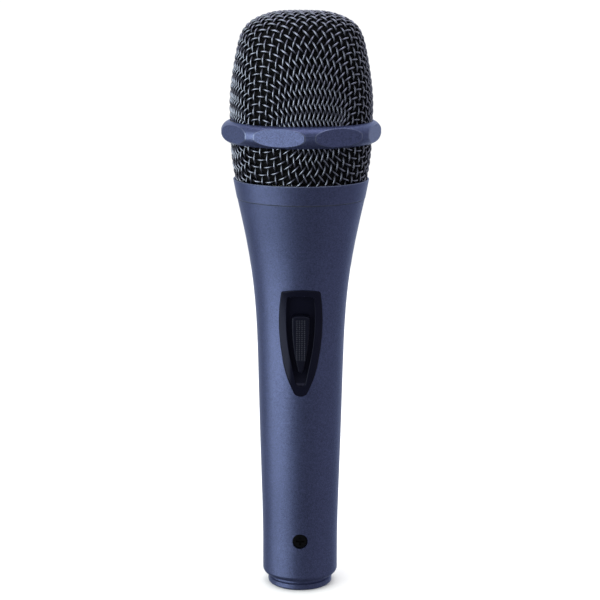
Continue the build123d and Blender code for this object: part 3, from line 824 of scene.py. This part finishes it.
class MIC_OT_stage(bpy.types.Operator):
    """Sets up the camera, the pale floor and the soft studio light"""

    bl_idname = "mic.stage"
    bl_label = "Stage"

    # name, place, target, width, height, watts, colour
    LAMPS = (
        ("key_panel", (-1.32, -0.72, 0.20), (0, 0, 0.08), 2.00, 1.45, 31.5, (0.91, 1.0, 0.87)),
        ("top_panel", (0.0, 0.05, 0.90), (0, 0, 0), 0.90, 0.90, 4.5, (1.0, 1.0, 1.0)),
    )
    # How far the floor lies under the tail, and the sides of its round edge.
    FLOOR_DROP = 0.05 * MM
    FLOOR_SIDES = 96
    # Brightness of the white room to the eye and to dull surfaces, and of its front to glossy ones.
    OPEN_ROOM = 1.05
    DIM_FRONT = 0.08

    def execute(self, context):
        stage = context.scene.mic_stage
        context.scene.view_settings.view_transform = "Standard"
        self.camera(context.scene, stage)
        for lamp in self.LAMPS:
            self.lamp(*lamp)
        self.floor(stage)
        self.world(context.scene)
        return {"FINISHED"}

    def camera(self, scene, stage):
        data = bpy.data.cameras.new("camera")
        data.lens = stage.lens
        data.sensor_width = 36.0
        data.dof.use_dof = False
        camera = bpy.data.objects.new("camera", data)
        tilt = Matrix.Rotation(math.pi / 2 - stage.camera_pitch, 4, "X")
        roll = Matrix.Rotation(stage.camera_roll, 4, "Z")
        camera.matrix_world = Matrix.Translation(stage.camera_place) @ tilt @ roll
        scene.collection.objects.link(camera)
        scene.camera = camera

    def lamp(self, name, place, target, width, height, watts, colour):
        data = bpy.data.lights.new(name, "AREA")
        data.shape = "RECTANGLE"
        data.size = width
        data.size_y = height
        data.energy = watts
        data.color = colour
        lamp = bpy.data.objects.new(name, data)
        lamp.location = place
        lamp.rotation_euler = (Vector(target) - Vector(place)).to_track_quat("-Z", "Y").to_euler()
        bpy.context.scene.collection.objects.link(lamp)

    def floor(self, stage):
        bm = bmesh.new()
        bmesh.ops.create_circle(bm, cap_ends=True, segments=self.FLOOR_SIDES,
                                radius=stage.floor_size)
        bmesh.ops.translate(bm, verts=bm.verts[:], vec=(0, 0, CAD_BOX[0][2] - self.FLOOR_DROP))
        floor = smooth_object("floor", bm)
        material = bpy.data.materials.new("pale_floor")
        nodes = NodeTree(material)
        nodes.surface({
            "Base Color": nodes.blend(nodes.noise(6) + 0.5, shaded(stage.floor, 0.99), stage.floor),
            "Roughness": 0.9,
        })
        floor.data.materials.append(material)
        floor.visible_glossy = False
        floor.visible_shadow = False

    def world(self, scene):
        """White all round to the eye and to dull surfaces; glossy ones see a dim front."""
        scene.world = bpy.data.worlds.new("studio")
        nodes = NodeTree(scene.world)
        right, back, up = nodes.parts(nodes.node("ShaderNodeTexCoord", "Generated"))
        glossy = nodes.node("ShaderNodeLightPath", "Is Glossy Ray")
        front = self.DIM_FRONT + nodes.limit(up, -0.58, -0.30) * 0.08
        side_wall = nodes.limit(right, 0.2, 1.0) * 0.24
        back_wall = nodes.limit(back, 0.5, 1.0) * 0.9
        ceiling = nodes.limit(up, 0.1, 0.6) * 0.25
        room = front + side_wall + back_wall + ceiling
        light = nodes.node("ShaderNodeBackground", 0, None, {
            "Color": (1, 1, 1, 1),
            "Strength": glossy * room + (1 - glossy) * self.OPEN_ROOM,
        })
        nodes.node("ShaderNodeOutputWorld", None, None, {"Surface": light})


class MIC_OT_finishes(bpy.types.Operator):
    """Gives every CAD node that stays the finish of its slot"""

    bl_idname = "mic.finishes"
    bl_label = "Finishes of the CAD nodes"

    def execute(self, context):
        for part in frame["record"]["subparts"]:
            for slot in frame["nodes"][part["node"]].material_slots:
                slot.material = finish(part["material_slot"])
        cloth = bpy.data.materials.new("finish_screen_cloth")
        screen_cloth(NodeTree(cloth), context.scene.mic_look)
        for slot in frame["nodes"]["capsule_screen"].material_slots:
            slot.material = cloth
        return {"FINISHED"}


class MIC_OT_dome_weave(bpy.types.Operator):
    """Weaves the domed wall of the grille"""

    bl_idname = "mic.dome_weave"
    bl_label = "Dome weave"

    # Where the pole lies between the crossings, in pitches.
    PHASE = (0.18, 0.25)

    def execute(self, context):
        weave = context.scene.mic_weave
        low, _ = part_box("upper_mesh")
        skin = Skin("upper_mesh", DOME_CENTRE, DOME_POLE, weave.wire, RUN_ON)
        floor = low[2] + CUT_INSIDE
        spare = SPARE_PITCHES * weave.pitch
        weave_wall("upper_mesh", skin, weave, weave.upper_turn, self.PHASE,
                   lambda place: place[2] > floor - spare, floor, None)
        return {"FINISHED"}


class MIC_OT_band_weave(bpy.types.Operator):
    """Weaves the band of the grille under the belt ring"""

    bl_idname = "mic.band_weave"
    bl_label = "Band weave"

    # Where the pole lies between the crossings, in pitches.
    PHASE = (0.0, 0.0)
    # A flat bottom for the cup that the band is drawn as, cut away afterwards.
    BOTTOM = [(radius * MM, 133.6 * MM) for radius in (0, 3, 6, 9, 12, 15, 17.5)]

    def execute(self, context):
        weave = context.scene.mic_weave
        low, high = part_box("lower_mesh")
        skin = Skin("lower_mesh", BAND_CENTRE, BAND_POLE, weave.wire, RUN_ON, self.BOTTOM)
        floor, ceiling = low[2] + CUT_INSIDE, high[2] - CUT_INSIDE
        spare = SPARE_PITCHES * weave.pitch
        weave_wall("lower_mesh", skin, weave, weave.lower_turn, self.PHASE,
                   lambda place: floor - spare < place[2] < ceiling + spare, floor, ceiling)
        return {"FINISHED"}


class MIC_OT_foam(bpy.types.Operator):
    """Builds the foam liners inside both walls of the grille"""

    bl_idname = "mic.foam"
    bl_label = "Foam liners"

    THICKNESS = 2.9 * MM
    RINGS = 60
    SIDES = 160

    def execute(self, context):
        self.liner("upper", DOME_CENTRE, DOME_POLE)
        self.liner("lower", BAND_CENTRE, BAND_POLE)
        return {"FINISHED"}

    def liner(self, name, centre_z, pole):
        node = "foam_liner_" + name
        skin = Skin(node, centre_z, pole, 0.0, 0.0)
        line = skin.spread(np.linspace(0, skin.run[-2], self.RINGS), 0.0)[:, ::2]
        if pole == DOME_POLE:
            line[0, 0] = 0.0
        bm = spun(line, self.SIDES)
        bmesh.ops.solidify(bm, geom=bm.faces[:], thickness=self.THICKNESS)
        settled = smooth_object("foam_" + name, bm)
        settle_piece(settled, "grille", "foam_black", node)


class MIC_OT_felt(bpy.types.Operator):
    """Builds the felt disc behind the capsule"""

    bl_idname = "mic.felt"
    bl_label = "Damping felt"

    SIDES = 64
    EDGE = 0.5 * MM

    def execute(self, context):
        low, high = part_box("rear_damping_felt")
        radius = (high[0] - low[0]) / 2
        bm = bmesh.new()
        bmesh.ops.create_circle(bm, cap_ends=True, segments=self.SIDES, radius=radius)
        lifted = bmesh.ops.extrude_face_region(bm, geom=bm.faces[:])
        top = [item for item in lifted["geom"] if isinstance(item, bmesh.types.BMVert)]
        bmesh.ops.translate(bm, verts=top, vec=(0, 0, high[2] - low[2]))
        bmesh.ops.translate(bm, verts=bm.verts[:], vec=(0, 0, low[2]))
        rims = [edge for edge in bm.edges
                if abs(edge.verts[0].co.z - edge.verts[1].co.z) < SAME_POINT]
        bmesh.ops.bevel(bm, geom=rims, offset=self.EDGE, offset_type="OFFSET", segments=3,
                        profile=0.5, affect="EDGES", material=-1)
        bmesh.ops.recalc_face_normals(bm, faces=bm.faces[:])
        felt = smooth_object("damping_felt", bm)
        settle_piece(felt, "handle", "felt", "rear_damping_felt")
        return {"FINISHED"}


OPERATORS = (
    MIC_OT_stage,
    MIC_OT_finishes,
    MIC_OT_dome_weave,
    MIC_OT_band_weave,
    MIC_OT_foam,
    MIC_OT_felt,
)


class MIC_PT_sidebar(bpy.types.Panel):
    """Lists the microphone's settings and pieces"""

    bl_label = "Microphone"
    bl_space_type = "VIEW_3D"
    bl_region_type = "UI"
    bl_category = "Microphone"

    def draw(self, context):
        for group in (context.scene.mic_stage, context.scene.mic_weave, context.scene.mic_look):
            box = self.layout.box()
            for name in group.bl_rna.properties.keys():
                if name not in ("rna_type", "name"):
                    box.prop(group, name)
        for operator in OPERATORS:
            self.layout.operator(operator.bl_idname)


SETTINGS = {"mic_weave": MicWeave, "mic_look": MicLook, "mic_stage": MicStage}


def register():
    for group in SETTINGS.values():
        bpy.utils.register_class(group)
    for operator in OPERATORS:
        bpy.utils.register_class(operator)
    bpy.utils.register_class(MIC_PT_sidebar)
    for name, group in SETTINGS.items():
        setattr(bpy.types.Scene, name, bpy.props.PointerProperty(type=group))


def unregister():
    for name in SETTINGS:
        delattr(bpy.types.Scene, name)
    for made in (MIC_PT_sidebar, *OPERATORS, *SETTINGS.values()):
        bpy.utils.unregister_class(made)


def main():
    register()
    for operator in OPERATORS:
        group, name = operator.bl_idname.split(".")
        getattr(getattr(bpy.ops, group), name)()


if __name__ == "__main__":
    main()
